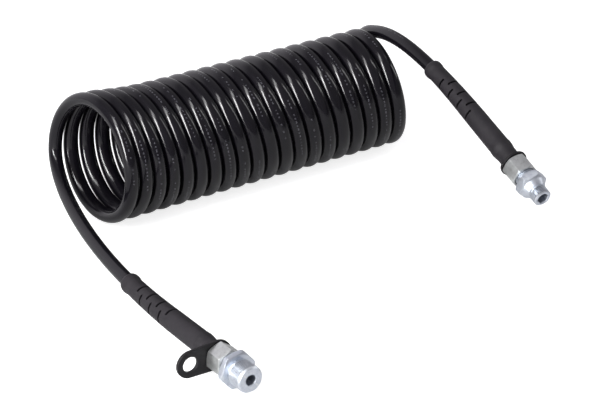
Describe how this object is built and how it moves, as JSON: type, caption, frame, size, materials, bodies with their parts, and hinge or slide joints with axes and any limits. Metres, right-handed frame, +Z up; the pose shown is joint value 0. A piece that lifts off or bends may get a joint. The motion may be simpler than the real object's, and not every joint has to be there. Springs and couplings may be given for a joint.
{
  "type": "coiled air hose",
  "caption": "Coiled black plastic air hose with slotted rubber bend protectors, union nuts, threaded stub fittings and a hanging eye at one end.",
  "frame": {"origin": "bottom centre of the bounding box, on the floor the coil rests on, with the hose at its resting length", "axes": "+X along the coil axis towards the far end B, +Z up, both tails leave the coil towards -Y"},
  "size_m": [0.3942, 0.3814, 0.1175],
  "materials": {
    "tube_polyamide": "smooth glossy black extruded polyamide",
    "boot_rubber": "matte charcoal moulded rubber",
    "ring_plastic": "satin black moulded plastic",
    "nut_zinc": "satin zinc-nickel plated steel, slightly greenish grey",
    "cutting_ring_steel": "yellow passivated steel",
    "sleeve_brass": "turned brass",
    "stud_zinc": "bright blue-white zinc plated steel"
  },
  "bodies": {
    "hose": {"coiled_tube": "tube_polyamide", "bend_protector_a": "boot_rubber"},
    "far_end": {"bend_protector_b": "boot_rubber"},
    "end_a": {"cutting_ring_a": "cutting_ring_steel", "support_sleeve_a": "sleeve_brass"},
    "end_b": {"cutting_ring_b": "cutting_ring_steel", "support_sleeve_b": "sleeve_brass", "end_collar_b": "ring_plastic"},
    "nut_a": {"union_nut_a": "nut_zinc"},
    "stud_a": {"stud_fitting_a": "stud_zinc"},
    "eye": {"hanging_eye": "ring_plastic"},
    "nut_b": {"union_nut_b": "nut_zinc"},
    "stud_b": {"stud_fitting_b": "stud_zinc"}
  },
  "joints": [
    {"name": "coil_extend", "type": "slide", "parent": "hose", "child": "far_end", "axis": [1, 0, 0], "range_m": [0, 3.5], "stiffness_N_per_m": 17, "deforming": ["coiled_tube"]},
    {"name": "end_a_bend", "type": "hinge", "parent": "hose", "child": "end_a", "pos_m": [-0.16259, -0.05566, 0.01554], "axis": [0, 0, 1], "range_deg": [-20, 20], "stiffness_Nm_per_rad": 1.2, "deforming": ["coiled_tube", "bend_protector_a"]},
    {"name": "end_b_bend", "type": "hinge", "parent": "far_end", "child": "end_b", "pos_m": [0.17677, 0.00039, 0.09206], "axis": [0, 0, 1], "range_deg": [-20, 20], "stiffness_Nm_per_rad": 1.2, "deforming": ["coiled_tube", "bend_protector_b"]},
    {"name": "nut_a_turn", "type": "hinge", "parent": "end_a", "child": "nut_a", "pos_m": [-0.16058, -0.14563, 0.01641], "axis": [-0.0262, 0.9996, -0.0105], "range_deg": [0, 2160]},
    {"name": "stud_a_release", "type": "slide", "parent": "end_a", "child": "stud_a", "axis": [0.0262, -0.9996, 0.0105], "range_m": [0, 0.009]},
    {"name": "hanging_eye_swivel", "type": "hinge", "parent": "end_a", "child": "eye", "pos_m": [-0.16058, -0.14563, 0.01641], "axis": [0.0262, -0.9996, 0.0105], "continuous": true},
    {"name": "nut_b_turn", "type": "hinge", "parent": "end_b", "child": "nut_b", "pos_m": [0.1705, -0.0854, 0.06559], "axis": [0.07, 0.9527, 0.2957], "range_deg": [0, 2160]},
    {"name": "stud_b_release", "type": "slide", "parent": "end_b", "child": "stud_b", "axis": [-0.07, -0.9527, -0.2957], "range_m": [0, 0.009]}
  ],
  "couplings": [
    {"joint": "nut_a_turn", "follows": "stud_a_release", "rad_per_m": 4188.8},
    {"joint": "nut_b_turn", "follows": "stud_b_release", "rad_per_m": 4188.8}
  ]
}
